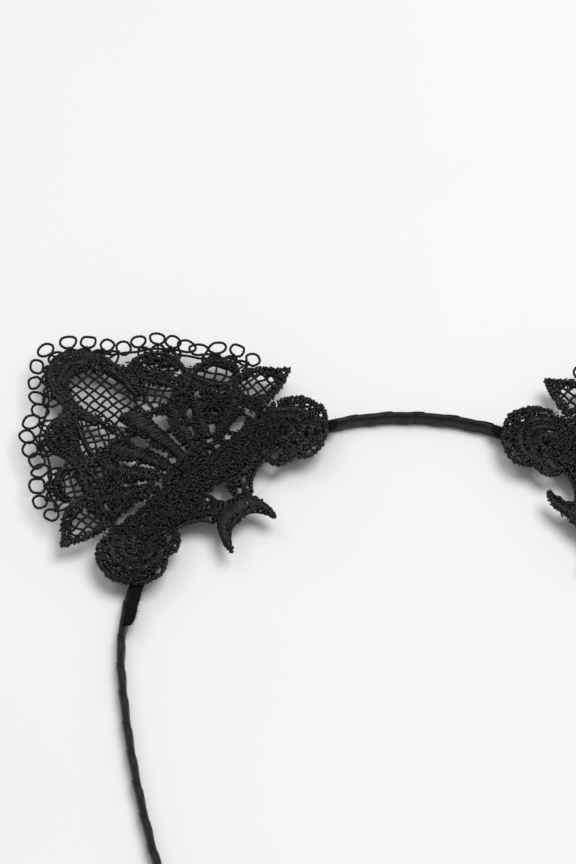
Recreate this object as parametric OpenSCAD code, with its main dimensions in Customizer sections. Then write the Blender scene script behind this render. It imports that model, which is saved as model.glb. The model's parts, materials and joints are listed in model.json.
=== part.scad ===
// Headband with a pair of flat lace cat ears. It lies flat: the head circle is centred on the
// origin, +Y points to the crown, +X across the head and +Z along the band's width.

/* [Band] */
// Radius of the head circle, at the inner face of the wrapped band
head_r = 69.5; // [58:0.5:84]
// Thickness of the wrapped band, from its inner to its outer face
band_t = 2.4; // [1.8:0.1:5]
// Width of the wrapped band
band_w = 4.4; // [3:0.1:12]
// Thickness of the ribbon that is wound round the steel strip, with its overlaps
ribbon_t = 0.6; // [0.2:0.05:0.8]
// Angle from the crown at which the round stretch turns into a leg, in degrees
round_end = 98; // [90:1:115]
// Radius of the gentle curve of each leg
leg_r = 300; // [150:10:600]
// Length of each leg
leg_len = 64; // [30:1:80]
// Length of the ribbon that is folded over each tip
tip_len = 7; // [4:0.5:15]
// How far the folded ribbon stands out from each face of the band
tip_t = 0.3; // [0.1:0.05:1]

/* [Flex] */
// Angle from the crown at which each side starts to spring, in degrees
crown_half = 10; // [6:0.5:13]
// Gap between the crown and each side
flex_gap = 0.5; // [0.4:0.05:1]

/* [Ears] */
// Angle from the crown to the middle of each ear, in degrees
ear_angle = 46.4; // [44:0.2:60]
// How far each ear is set off from that angle, towards the tip of its leg
ear_set = 3.7; // [0:0.1:5]
// How far the ear's base line lies inside the middle of the band
ear_drop = 2; // [0:0.1:3]
// Height above the middle of the band at which the ear folds
fold_y = 6.8; // [6:0.1:9]
// Slit along the fold
fold_gap = 1.0; // [0.8:0.1:2]
// Thickness of the felt backing
felt_t = 0.8; // [0.5:0.1:2]
// Thickness of the thin net ground
net_t = 0.5; // [0.3:0.1:1]
// Height of the raised cords above the net
cord_t = 1.2; // [0.6:0.1:2]
// Height of the satin ribs above the net
rib_t = 1.5; // [0.8:0.1:2.5]
// Width of one cell of the net
cell = 2.1; // [1.6:0.1:3]
// Width of the threads of the net
thread_w = 0.5; // [0.3:0.05:0.8]

/* [Lace motifs] */
// Radius of the round end of the ear's peak
peak_r = 9.2; // [8:0.1:11]
// Height of the centre of that round end above the band
peak_y = 48.5; // [46:0.5:52]
// Radius of the middle of the upper scallops' cord
scallop1_r = 7.3; // [6.5:0.1:8]
// Width of the upper scallops' cord
scallop1_w = 3.2; // [2:0.1:4]
// Radius of the middle of the lower scallops' cord
scallop2_r = 6.7; // [6:0.1:7.5]
// Width of the lower scallops' cord
scallop2_w = 2.6; // [2:0.1:3.5]
// Distance from the ear's middle to the tip of each side leaf
leaf_tip = 40; // [37:0.5:45]
// Width of the beaded rim of each side leaf
leaf_rim = 3; // [2:0.1:3.4]
// Width of the middle rib of the fan
rib_w = 5.4; // [4:0.1:6]
// Width of the ribs beside it
side_rib_w = 4.4; // [3.5:0.1:5]
// Radius of the small thread loops round the edge, at the middle of the thread
picot_r = 2.2; // [1.6:0.1:2.5]
// Width of the thread of the loops
picot_w = 0.6; // [0.4:0.1:1]
// Length of one tack stitch
tack_len = 3; // [2:0.5:5]

/* [Hidden] */
$fn = 48;

mid_r = head_r + band_t / 2;
leg_deg = leg_len / leg_r * 180 / PI;
gap_deg = flex_gap / 2 / mid_r * 180 / PI;
core_play = 0.4;
felt_z = band_w;
lace_z = felt_z + felt_t;
cord_z = lace_z + net_t;
base_t = net_t + cord_t;
base_top = fold_y - 0.2 * fold_gap;
ear_bottom = fold_y + 0.8 * fold_gap;
stem_w = 2.4;
black = [0.07, 0.07, 0.08];
satin = [0.11, 0.11, 0.13];
thread = [0.16, 0.16, 0.18];
steel = [0.62, 0.63, 0.65];

// Centre of the circle through three points, and the points along its arc from a over b to c.
function mid_of(a, b, c) =
    let (d = 2 * (a.x * (b.y - c.y) + b.x * (c.y - a.y) + c.x * (a.y - b.y)),
         aa = a * a, bb = b * b, cc = c * c)
    [(aa * (b.y - c.y) + bb * (c.y - a.y) + cc * (a.y - b.y)) / d,
     (aa * (c.x - b.x) + bb * (a.x - c.x) + cc * (b.x - a.x)) / d];
function turn(from, to) = let (d = to - from) d - 360 * floor((d + 180) / 360);
function arc(a, b, c, steps = 10) =
    let (m = mid_of(a, b, c), r = norm(a - m),
         t0 = atan2(a.y - m.y, a.x - m.x),
         t1 = t0 + turn(t0, atan2(b.y - m.y, b.x - m.x)),
         t2 = t1 + turn(t1, atan2(c.y - m.y, c.x - m.x)))
    [for (i = [0 : steps]) let (t = t0 + (t2 - t0) * i / steps) m + r * [cos(t), sin(t)]];
function mirrored(points) = [for (i = [len(points) - 1 : -1 : 0]) [-points[i].x, points[i].y]];

// Half a circle round p, from the direction t on.
function round_tip(p, r, t) = [for (i = [1 : 5]) p + r * [cos(t + 30 * i), sin(t + 30 * i)]];
// A cord along the arc through three points, with round ends.
module cord(a, b, c, width) {
    points = arc(a, b, c);
    m = mid_of(a, b, c);
    r = norm(a - m);
    last = len(points) - 1;
    t_a = atan2(a.y - m.y, a.x - m.x);
    t_c = atan2(c.y - m.y, c.x - m.x);
    left_turn = turn(t_a, atan2(b.y - m.y, b.x - m.x)) > 0;
    polygon(concat(
        [for (p = points) m + (p - m) * (1 + width / 2 / r)],
        left_turn ? round_tip(c, width / 2, t_c)
                  : [for (i = [4 : -1 : 0]) round_tip(c, width / 2, t_c - 180)[i]],
        [for (i = [last : -1 : 0]) m + (points[i] - m) * (1 - width / 2 / r)],
        left_turn ? round_tip(a, width / 2, t_a + 180)
                  : [for (i = [4 : -1 : 0]) round_tip(a, width / 2, t_a)[i]]));
}
// A straight bar from a to b, with round ends.
module bar(a, b, width) {
    t = atan2(b.y - a.y, b.x - a.x);
    side = width / 2 * [-sin(t), cos(t)];
    polygon(concat([a - side, b - side], round_tip(b, width / 2, t - 90),
                   [b + side, a + side], round_tip(a, width / 2, t + 90)));
}
module both() {
    children();
    mirror([1, 0]) children();
}
module plate(z, t) translate([0, 0, z]) linear_extrude(t) children();

// The left side is drawn, and the right side is its mirror image.
module side(s) {
    if (s == "left") children(); else mirror([1, 0, 0]) children();
}
// The ear's own frame: x along the band, y up the ear from the middle of the band.
module at_ear() rotate([0, 0, ear_angle]) translate([-ear_set, mid_r - ear_drop, 0]) children();

// ---- band ----
module band_section(inset) {
    translate([-band_t / 2 + inset, inset]) square([band_t - 2 * inset, band_w - 2 * inset]);
}
module wrap_section() {
    difference() {
        band_section(0);
        band_section(ribbon_t);
    }
}
// A round stretch of the band with the given section, between two angles from the crown.
module round_stretch(from, to) {
    rotate([0, 0, 90 + from]) rotate_extrude(angle = to - from, $fn = 96)
        translate([mid_r, 0]) children();
}
module crown_stretch() round_stretch(-crown_half + gap_deg, crown_half - gap_deg) children();
// A hair's breadth keeps the round stretch and the leg, which are bent differently, two plain
// solids whatever the head's size.
seam = 0.01;
module side_stretch() {
    round_stretch(crown_half + gap_deg, round_end - seam / mid_r * 180 / PI) children();
}
// The leg, as the outline between two lines beside its middle line.
function outward(t) = [-sin(t), cos(t)];
function leg_at(t, off) = (mid_r - leg_r) * outward(round_end) + (leg_r + off) * outward(t);
function spaced(from, to, step) =
    let (n = ceil((to - from) / step)) [for (i = [0 : n]) from + (to - from) * i / n];
module leg_plate(headings, inner, outer, z, t) plate(z, t) polygon(concat(
    [for (h = headings) leg_at(h, outer)],
    [for (i = [len(headings) - 1 : -1 : 0]) leg_at(headings[i], inner)]));
module leg_band(headings, inset) {
    leg_plate(headings, inset - band_t / 2, band_t / 2 - inset, inset, band_w - 2 * inset);
}
leg_step = 0.5;
tip_deg = tip_len / leg_r * 180 / PI;
leg_end = round_end + leg_deg;
leg_headings = concat(spaced(round_end, leg_end - tip_deg, leg_step),
                      spaced(leg_end - tip_deg * 2 / 3, leg_end, leg_step));
module crown_core() color(steel) crown_stretch() band_section(ribbon_t);
module crown_wrap() color(satin) crown_stretch() wrap_section();
module side_core() {
    play = core_play / leg_r * 180 / PI;
    color(steel) {
        side_stretch() band_section(ribbon_t);
        leg_band([for (h = leg_headings) min(h, leg_end - play)], ribbon_t);
    }
}
// The wrap is open at the tip: the strip's channel runs on past both ends of the leg.
module side_wrap() {
    color(satin) {
        side_stretch() wrap_section();
        difference() {
            leg_band(leg_headings, 0);
            leg_band(concat([round_end - tip_deg], leg_headings, [leg_end + tip_deg]), ribbon_t);
        }
    }
}
// The ribbon's end, folded over the tip and glued down on both faces.
tip_end = 0.7;
module tip_fold() {
    folded = [for (h = leg_headings) if (h > leg_end - tip_deg - leg_step / 2) h];
    end = leg_end + tip_end / leg_r * 180 / PI;
    color(satin) difference() {
        leg_plate(concat(folded, [end]), -band_t / 2 - tip_t, band_t / 2 + tip_t, 0, band_w);
        leg_plate(concat([folded[0] - tip_deg], folded), -band_t / 2, band_t / 2,
                  -band_w, 3 * band_w);
    }
}

// ---- felt backing ----
// A flat strip under each foot of the lace, standing out past the band's inner face.
felt_in = 1.6;
felt_from = 18;
outer_felt_to = 41.5;
inner_felt_to = 30;
felt_round = 1.5;
function polar(r, t) = r * [sin(t), cos(t)];
module felt_strip(from, to) {
    low = head_r - felt_in;
    high = head_r + band_t;
    round_deg = felt_round / low * 180 / PI;
    steps = 12;
    color(black) plate(felt_z, felt_t) rotate(ear_angle) mirror([1, 0]) polygon(concat(
        [for (i = [0 : steps]) polar(high, from + (to - from) * i / steps)],
        [for (t = [15 : 15 : 75])
            polar(low + felt_round * (1 - sin(t)), to - round_deg * (1 - cos(t)))],
        [for (i = [steps : -1 : 0]) polar(low, from + (to - round_deg - from) * i / steps)]));
}
module outer_felt() felt_strip(felt_from, outer_felt_to);
module inner_felt() rotate([0, 0, 2 * ear_angle]) mirror([1, 0, 0]) felt_strip(felt_from, inner_felt_to);

// ---- lace below the fold ----
foot_x = 30.5;
foot_low = [22, -3.2];
foot_slit = 0.3;
module lace_base_outline() {
    half = concat(
        [[foot_x - foot_slit, base_top], foot_low - [foot_slit, 0]],
        arc([21, -3.1], [14, -3.7], [8, -6.7], 8),
        arc([7.4, -7.4], [6, -9.7], [6.3, -12], 5),
        arc([6.6, -13], [7.8, -16], [7.4, -19.3], 5),
        arc([6.6, -18.8], [5, -15.2], [0, -13.4], 6));
    polygon(concat(half, mirrored(half)));
}
star_y = -4.3;
star_out = 2.6;
star_in = 1.5;
module star_hole() {
    translate([0, star_y]) polygon([for (i = [0 : 9])
        (i % 2 == 0 ? star_out : star_in) * [sin(36 * i), -cos(36 * i)]]);
}
module lace_base() {
    color(black) at_ear() plate(lace_z, base_t) difference() {
        lace_base_outline();
        star_hole();
        both() bar([5.2, -7.2], [6.4, -5.6], 0.7);
        both() bar([9.4, -3.9], [11.4, -2.8], 0.7);
    }
}
module foot_outline() {
    polygon(concat(
        [foot_low, [foot_x, base_top]],
        arc([31.5, base_top], [37.9, -1.5], [33.5, -9.4]),
        arc([33, -9.8], [27.5, -12.3], [23.2, -9.9]),
        arc([22.6, -9.8], [17, -8.6], [15, -4.4]),
        [[17, -3.9]]));
}
module foot() {
    color(black) plate(lace_z, base_t) difference() {
        foot_outline();
        bar([17.9, -5.1], [20.6, -5.4], 1.1);
        bar([34.3, -2.8], [34.4, -1.2], 1);
        bar([32.4, 3], [32.9, 2], 0.9);
        bar([29.6, -9.6], [31, -9.4], 0.8);
        bar([26, -10.4], [27, -10.6], 0.8);
    }
}
module outer_foot() at_ear() mirror([1, 0, 0]) foot();
module inner_foot() at_ear() foot();
// Short stitches that hold the feet to the felt and the band.
tack_w = 0.7;
tack_h = 0.6;
tack_lean = 0.6;
module tack_stitches() {
    color(thread) at_ear() plate(lace_z + base_t, tack_h)
        for (x = [-32, -28.5, -25, 25, 28.5, 32])
            let (across = x - ear_set, y = sqrt(mid_r * mid_r - across * across) - mid_r + ear_drop)
                bar([x, y - tack_len / 2], [x + tack_lean, y + tack_len / 2], tack_w);
}

// ---- lace above the fold ----
scallop1 = [14, 34.5];
scallop2 = [23.5, 22.3];
peak_low = 31;
peak_side = 8.3;
peak_side_w = 3.4;
window_w = 6.2;
function on(m, r, t) = m + r * [cos(t), sin(t)];

module peak_window() {
    translate([0, peak_y - 4.8]) circle(r = window_w);
    translate([-window_w, peak_low]) square([2 * window_w, peak_y - 4.8 - peak_low]);
}
module scallop_plates() {
    difference() {
        union() {
            translate([0, peak_y]) circle(r = peak_r);
            both() bar([peak_side, peak_y], [peak_side, 42], peak_side_w);
        }
        peak_window();
    }
    both() {
        cord([peak_side, 42], [8.1, 38], [7.3, 33], peak_side_w);
        cord(on(scallop1, scallop1_r, 120), on(scallop1, scallop1_r, 45),
             on(scallop1, scallop1_r, -32), scallop1_w);
        cord(on(scallop2, scallop2_r, 100), on(scallop2, scallop2_r, 42),
             on(scallop2, scallop2_r, -18), scallop2_w);
        cord([10.5, 39.3], [14.2, 33.3], [16, 25.3], 2.8);
        cord([20.3, 29.8], [20.8, 25.3], [23.5, 20.6], 2.4);
    }
}
module ear_scallops() {
    color(black) at_ear() plate(cord_z, cord_t) difference() {
        scallop_plates();
        both() leaf_outline(0.2);
    }
}
// A fan of satin ribs that spreads from the fold.
rib_foot = ear_bottom + stem_w / 2;
module ear_fan() {
    color(thread) at_ear() plate(cord_z, rib_t) {
        bar([0, rib_foot + rib_w / 2], [0, 28.3 - rib_w / 2], rib_w);
        both() {
            bar([5.2, rib_foot + 1], [9.5, 22.5], side_rib_w);
            bar([9.4, rib_foot + 1], [13.6, 18.2], side_rib_w);
            bar([14, rib_foot + 0.6], [22.2, 12.6], side_rib_w - 0.8);
        }
        translate([-leaf_root + 0.3, ear_bottom]) square([2 * leaf_root - 0.6, stem_w]);
    }
}
leaf_root = 25.5;
leaf_tip_y = 11.7;
module leaf_outline(grow) {
    upper = arc([leaf_root, 18.9], [(leaf_root + leaf_tip) / 2 + 1, 17.7], [leaf_tip, leaf_tip_y]);
    lower = arc([leaf_tip, leaf_tip_y], [(leaf_root + leaf_tip) / 2 + 2, 8.5],
                [leaf_root, ear_bottom]);
    polygon(concat([[leaf_root - grow, 18.9 + grow]],
        [for (p = upper) p + [0, grow]], lower, [[leaf_root - grow, ear_bottom]]));
}
module leaf_window() {
    polygon(concat(
        arc([leaf_root + leaf_rim - 0.6, 16], [(leaf_root + leaf_tip) / 2, 15.6],
            [leaf_tip - leaf_rim - 1.6, leaf_tip_y]),
        arc([leaf_tip - leaf_rim - 1.8, leaf_tip_y - 0.2], [(leaf_root + leaf_tip) / 2, 10.4],
            [leaf_root + leaf_rim - 0.6, 10.6])));
}
module ear_leaves() {
    color(black) at_ear() plate(cord_z, cord_t) both() difference() {
        leaf_outline(0);
        leaf_window();
    }
}
// The thin net: one sheet under the cords, pierced by square cells in each panel.
net_in = 1.2;
net_w = 28;
module net_outline() {
    translate([0, peak_y]) circle(r = peak_r - net_in);
    both() {
        translate(scallop1) circle(r = scallop1_r + scallop1_w / 2 - net_in);
        translate(scallop2) circle(r = scallop2_r + scallop2_w / 2 - net_in);
        intersection() {
            leaf_outline(0);
            translate([0, ear_bottom]) square([leaf_tip - 2.5, 10.4]);
        }
    }
    half = [[net_w, ear_bottom], [net_w - 1, 17.6], [22, 30], [9, 36], [7.8, peak_y]];
    polygon(concat(half, mirrored(half)));
}
module cells(columns, rows, tilt) {
    rotate(tilt) for (i = [0 : columns - 1], j = [0 : rows - 1])
        translate([(i - columns / 2) * cell + thread_w / 2, (j - rows / 2) * cell + thread_w / 2])
            square(cell - thread_w);
}
module ear_net() {
    color(thread) at_ear() plate(lace_z, net_t) difference() {
        net_outline();
        intersection() {
            peak_window();
            translate([0, 40]) cells(6, 9, 0);
        }
        both() {
            translate([10.8, 31.6]) cells(3, 4, 35);
            translate([16.6, 35.2]) cells(1, 3, 25);
            translate([25, 24]) cells(3, 3, 30);
            translate([17.8, 21.5]) cells(1, 3, 25);
            translate([30.9, 13.2]) cells(4, 2, 0);
        }
    }
}
// Loops of thread round the edge, on a thin line that runs beside the scallops.
loop_step = 4.6;
loop_off = 0.2;
module loop_ring(m, r, t) translate(on(m, r, t)) difference() {
    circle(r = picot_r + picot_w / 2, $fn = 12);
    circle(r = picot_r - picot_w / 2, $fn = 12);
}
module loop_run(m, r, from, to) {
    line_r = r + 0.8;
    loop_c = line_r + picot_r + loop_off;
    gaps = max(1, round(abs(to - from) * PI / 180 * loop_c / loop_step));
    cord(on(m, line_r, from), on(m, line_r, (from + to) / 2), on(m, line_r, to), picot_w);
    for (i = [0 : gaps]) let (t = from + (to - from) * i / gaps) {
        loop_ring(m, loop_c, t);
        bar(on(m, r - 0.6, t), on(m, line_r, t), picot_w);
    }
}
module ear_picots() {
    color(thread) at_ear() plate(lace_z, net_t) {
        loop_run([0, peak_y], peak_r, 90, 18);
        loop_run([0, peak_y], peak_r, 90, 162);
        both() {
            loop_run(scallop1, scallop1_r + scallop1_w / 2, 92, 4);
            loop_run(scallop2, scallop2_r + scallop2_w / 2, 76, 2);
        }
    }
}

crown_core();
crown_wrap();
for (s = ["left", "right"]) side(s) {
    side_core();
    side_wrap();
    tip_fold();
    outer_felt();
    inner_felt();
    lace_base();
    outer_foot();
    inner_foot();
    tack_stitches();
    ear_net();
    ear_scallops();
    ear_fan();
    ear_leaves();
    ear_picots();
}
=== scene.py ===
import json
import math
import bpy
import numpy as np
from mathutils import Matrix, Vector


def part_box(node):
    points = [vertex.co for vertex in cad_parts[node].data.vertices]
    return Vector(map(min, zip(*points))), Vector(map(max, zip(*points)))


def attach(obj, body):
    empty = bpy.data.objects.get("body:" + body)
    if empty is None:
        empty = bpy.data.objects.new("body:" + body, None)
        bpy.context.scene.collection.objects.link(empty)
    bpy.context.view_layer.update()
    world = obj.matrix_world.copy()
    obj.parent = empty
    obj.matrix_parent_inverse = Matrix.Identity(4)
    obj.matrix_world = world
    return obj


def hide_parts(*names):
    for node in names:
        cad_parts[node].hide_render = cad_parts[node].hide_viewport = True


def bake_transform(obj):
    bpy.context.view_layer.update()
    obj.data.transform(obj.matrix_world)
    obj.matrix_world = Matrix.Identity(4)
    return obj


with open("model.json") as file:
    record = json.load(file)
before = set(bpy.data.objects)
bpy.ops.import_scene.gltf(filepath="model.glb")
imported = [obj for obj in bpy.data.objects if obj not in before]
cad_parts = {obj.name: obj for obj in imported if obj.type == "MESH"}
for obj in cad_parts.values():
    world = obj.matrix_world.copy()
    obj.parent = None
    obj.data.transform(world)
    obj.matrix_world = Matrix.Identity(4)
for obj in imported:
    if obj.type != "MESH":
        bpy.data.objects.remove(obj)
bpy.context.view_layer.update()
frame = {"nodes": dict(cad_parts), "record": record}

# ---- Camera ----
# A long lens looks down at the headband from the front, as over a table top. It stands far
# enough off for both ears to keep nearly the same scale.
MM = 0.001
camera_place = Vector((-9.4, -459.0, 739.8)) * MM
camera_aim = Vector((-32.5, 66.4, 0)) * MM
lens_mm = 146.7
camera_data = bpy.data.cameras.new("camera")
camera_data.lens = lens_mm
camera = bpy.data.objects.new("camera", camera_data)
camera.location = camera_place
camera.rotation_euler = (camera_aim - camera_place).to_track_quat("-Z", "Y").to_euler()
bpy.context.scene.collection.objects.link(camera)
bpy.context.scene.camera = camera

# ---- Table top ----
# A plain pale table that the headband lies flat on. Its paint is smooth, and slightly uneven
# in tone.
def clear_selection():
    for o in bpy.context.selected_objects:
        o.select_set(False)

def new_material(name):
    """A new material with its nodes, its links and its shader."""
    material = bpy.data.materials.new(name)
    material.use_nodes = True
    tree = material.node_tree
    return material, tree.nodes, tree.links, tree.nodes["Principled BSDF"]

def new_node(nodes, kind, **inputs):
    """A new node with the named inputs set. An underscore in a name stands for a space."""
    node = nodes.new("ShaderNode" + kind)
    for name, value in inputs.items():
        node.inputs[name.replace("_", " ")].default_value = value
    return node

def wire(links, *joins):
    """Links an output of one node to an input of another, for each join given."""
    for start, output, end, inlet in joins:
        links.new(start.outputs[output], end.inputs[inlet])

def tone_ramp(nodes, dark, light, dark_at=0.0, light_at=1.0):
    """A colour ramp from a dark tone to a light one."""
    tone = nodes.new("ShaderNodeValToRGB")
    for end, colour, at in zip(tone.color_ramp.elements, (dark, light), (dark_at, light_at)):
        end.position = at
        end.color = (*colour, 1)
    return tone

clear_selection()
bpy.ops.mesh.primitive_plane_add(size=6, location=(0, 0, 0))
table_top = bpy.context.object
table_top.name = "table_top"
paint, nodes, links, shader = new_material("white_table_paint")
shader.inputs["Roughness"].default_value = 0.55
shader.inputs["Specular IOR Level"].default_value = 0.3
where = new_node(nodes, "TexCoord")
mottle = new_node(nodes, "TexNoise", Scale=7, Detail=5)
tone = tone_ramp(nodes, (0.79, 0.79, 0.795), (0.84, 0.84, 0.85))
wire(links, (where, "Object", mottle, "Vector"), (mottle, "Fac", tone, "Fac"),
     (tone, "Color", shader, "Base Color"))
table_top.data.materials.append(paint)

# ---- Studio light ----
# One wide soft box high on the right and a weaker one behind on the left, both nearly white,
# and a pale room round them.
def soft_box(name, place, size, watts, colour):
    light_data = bpy.data.lights.new(name, "AREA")
    light_data.shape = "DISK"
    light_data.size = size
    light_data.energy = watts
    light_data.color = colour
    light = bpy.data.objects.new(name, light_data)
    light.location = place
    light.rotation_euler = (Vector((0, 0.03, 0)) - Vector(place)).to_track_quat("-Z", "Y").to_euler()
    bpy.context.scene.collection.objects.link(light)

soft_box("window_light", (0.42, 0.22, 1.5), 1.0, 18.5, (1.0, 0.99, 0.98))
soft_box("fill_light", (-0.7, 0.5, 1.3), 1.2, 4, (1.0, 0.99, 0.98))
world = bpy.data.worlds.new("pale_room")
world.use_nodes = True
world.node_tree.nodes["Background"].inputs["Color"].default_value = (0.97, 0.98, 1.0, 1)
world.node_tree.nodes["Background"].inputs["Strength"].default_value = 0.36
bpy.context.scene.world = world
bpy.context.scene.view_settings.view_transform = "Standard"

# ---- Spring strip ----
# A bent strip of flat spring steel with rolled edges, hidden inside the ribbon. It keeps its
# design shape, in three lengths that meet at the two places where the sides spring open.
def brushed_steel():
    steel, nodes, links, shader = new_material("strip_spring_steel")
    shader.inputs["Metallic"].default_value = 1.0
    where = new_node(nodes, "TexCoord")
    stretch = new_node(nodes, "Mapping", Scale=(300, 300, 9000))
    grain = new_node(nodes, "TexNoise", Scale=1, Detail=4)
    tone = tone_ramp(nodes, (0.42, 0.43, 0.45), (0.66, 0.67, 0.69))
    rough = new_node(nodes, "MapRange", To_Min=0.22, To_Max=0.42)
    wire(links, (where, "Object", stretch, "Vector"), (stretch, "Vector", grain, "Vector"),
         (grain, "Fac", tone, "Fac"), (tone, "Color", shader, "Base Color"),
         (grain, "Fac", rough, "Value"), (rough, "Result", shader, "Roughness"))
    return steel

strip_steel = brushed_steel()
for strip in ("crown_core", "left_core", "right_core"):
    strip_mesh = frame["nodes"][strip].data
    strip_mesh.materials.clear()
    strip_mesh.materials.append(strip_steel)

# ---- Satin ribbon ----
# One length of narrow black satin ribbon is wound round the strip from tip to tip, each turn
# lapping the last. It is cut at the crown into two halves.
joints = {j["name"]: j for j in frame["record"]["behaviour"]["joints"]}
mounts = {m["name"]: m for m in frame["record"]["mounts"]}
head_r = mounts["head"]["dims"]["r_mm"]
band_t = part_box("crown_wrap")[1].y / MM - head_r
band_w = mounts["head"]["dims"]["length_mm"]
mid_r = head_r + band_t / 2
round_end = math.radians(98)
leg_r = 300
leg_len = 64
ribbon_thick = 0.14
turn_step = 8.6
turn_span = 10.4
lap_lift = 0.2
corner_power = 2.6

def band_place(s):
    """Centre and outward direction of the band at s mm along it from the crown, left side positive."""
    side = np.where(s < 0, -1.0, 1.0)
    run = np.abs(s)
    round_len = mid_r * round_end
    on_round = run <= round_len
    turned = np.where(on_round, run / mid_r, round_end + (run - round_len) / leg_r)
    radius = np.where(on_round, mid_r, leg_r)
    shift = np.where(on_round, 0.0, mid_r - leg_r)
    x = radius * np.sin(turned) + shift * math.sin(round_end)
    y = radius * np.cos(turned) + shift * math.cos(round_end)
    centre = np.stack([-side * x, y], -1)
    outward = np.stack([-side * np.sin(turned), np.cos(turned)], -1)
    return centre, outward

def corner_reach(cos, sin, power):
    """How far out a round-cornered section reaches in each direction, for a half size of 1."""
    return (np.abs(cos) ** power + np.abs(sin) ** power) ** (-1 / power)

def smooth_piece(name, points, faces, uvs, material):
    """A smooth mesh of quads over points in mm, with the UV place of each face corner."""
    mesh = bpy.data.meshes.new(name)
    mesh.from_pydata((points * MM).tolist(), [], faces.tolist())
    layer = mesh.uv_layers.new(name="UVMap")
    layer.data.foreach_set("uv", uvs.astype(np.float32).ravel())
    mesh.polygons.foreach_set("use_smooth", [True] * len(faces))
    mesh.materials.append(material)
    piece = bpy.data.objects.new(name, mesh)
    bpy.context.scene.collection.objects.link(piece)
    return piece

def grid_mesh(name, points, uvs, material):
    """A sheet of quads over an (m, n, 3) grid of points in mm."""
    rows, columns = points.shape[:2]
    index = np.arange(rows * columns).reshape(rows, columns)
    faces = np.stack([index[:-1, :-1], index[:-1, 1:], index[1:, 1:], index[1:, :-1]], -1).reshape(-1, 4)
    corner_uvs = uvs.reshape(-1, 2)[faces.reshape(-1)]
    return smooth_piece(name, points.reshape(-1, 3), faces, corner_uvs, material)

def select_only(piece):
    clear_selection()
    piece.select_set(True)
    bpy.context.view_layer.objects.active = piece

def edit_all(piece):
    """Opens the piece in edit mode with all of it selected."""
    select_only(piece)
    bpy.ops.object.mode_set(mode="EDIT")
    bpy.ops.mesh.select_all(action="SELECT")

def apply_modifier(piece, kind, **settings):
    select_only(piece)
    modifier = piece.modifiers.new(kind.lower(), kind)
    for key, value in settings.items():
        setattr(modifier, key, value)
    bpy.ops.object.modifier_apply(modifier=modifier.name)

def satin_weave():
    satin, nodes, links, shader = new_material("black_satin_ribbon")
    shader.inputs["Specular IOR Level"].default_value = 0.22
    shader.inputs["Anisotropic"].default_value = 0.5
    where = new_node(nodes, "TexCoord")
    weft = new_node(nodes, "TexWave", Scale=0.9, Distortion=1.2, Detail=2)
    weft.bands_direction = "X"
    crease = new_node(nodes, "TexNoise", Scale=420, Detail=3)
    tone = tone_ramp(nodes, (0.002, 0.002, 0.003), (0.008, 0.008, 0.010))
    rough = new_node(nodes, "MapRange", To_Min=0.24, To_Max=0.36)
    raised = new_node(nodes, "Mix", Factor=0.35)
    bump = new_node(nodes, "Bump", Strength=0.35, Distance=0.00008)
    wire(links, (where, "UV", weft, "Vector"), (where, "Object", crease, "Vector"),
         (crease, "Fac", tone, "Fac"), (tone, "Color", shader, "Base Color"),
         (crease, "Fac", rough, "Value"), (rough, "Result", shader, "Roughness"),
         (weft, "Fac", raised, "A"), (crease, "Fac", raised, "B"),
         (raised, "Result", bump, "Height"), (bump, "Normal", shader, "Normal"))
    return satin

def wound_ribbon(material):
    """The whole ribbon: a strip that climbs along the band as it goes round it."""
    draw = np.random.default_rng(41)
    length = mid_r * round_end + leg_len - 0.4
    per_turn = 44
    across = 13
    turns = int(2 * length / turn_step)
    steps = turns * per_turn + 1
    round_angle = np.arange(steps) * 2 * math.pi / per_turn
    climb = np.interp(np.arange(steps) / per_turn, np.arange(turns + 1),
                      np.linspace(-length, length - turn_span + 3, turns + 1)
                      + draw.normal(0, 0.45, turns + 1) * np.minimum(1, np.arange(turns, -1, -1) / 3))
    w = np.linspace(0, 1, across)
    s = np.clip(climb[:, None] + w[None, :] * turn_span, -length, length)
    angle = np.repeat(round_angle[:, None], across, 1)
    lap = 1 - turn_step / turn_span
    fall = np.clip((w - lap * 0.9) / (lap * 1.1), 0, 1)
    lift = lap_lift * (1 - fall * fall * (3 - 2 * fall))
    thin = ribbon_thick / 2
    a = band_t / 2 - lap_lift - thin + lift[None, :]
    b = band_w / 2 - lap_lift - thin + lift[None, :]
    cos, sin = np.cos(angle), np.sin(angle)
    reach = corner_reach(cos, sin, corner_power)
    wrinkle = sum(draw.normal(0, 0.011) * np.sin(f * s * 0.8 + g * angle + draw.uniform(0, 6))
                  for f, g in ((1.0, 1), (1.9, 2), (0.6, 3), (2.7, 1), (1.3, 5)))
    out = np.minimum(reach * cos * a, band_t / 2) + wrinkle * cos
    up = np.maximum(reach * sin * b + wrinkle * sin * 0.5, 1.2 * thin - band_w / 2)
    centre, outward = band_place(s)
    flat = centre + outward * out[..., None]
    points = np.concatenate([flat, (band_w / 2 + up)[..., None]], -1)
    uvs = np.stack([angle * (band_t + band_w) / math.pi * 2, np.repeat(w[None, :], steps, 0)], -1)
    piece = grid_mesh("satin_ribbon", points, uvs, material)
    apply_modifier(piece, "SOLIDIFY", thickness=ribbon_thick * MM, offset=0)
    return piece

def cut_half(piece, name, keep_left):
    half = piece.copy()
    half.data = piece.data.copy()
    half.name = name
    bpy.context.scene.collection.objects.link(half)
    edit_all(half)
    bpy.ops.mesh.bisect(plane_co=(0, 0, 0), plane_no=(1, 0, 0), use_fill=True,
                        clear_outer=keep_left, clear_inner=not keep_left)
    bpy.ops.object.mode_set(mode="OBJECT")
    return half

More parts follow.
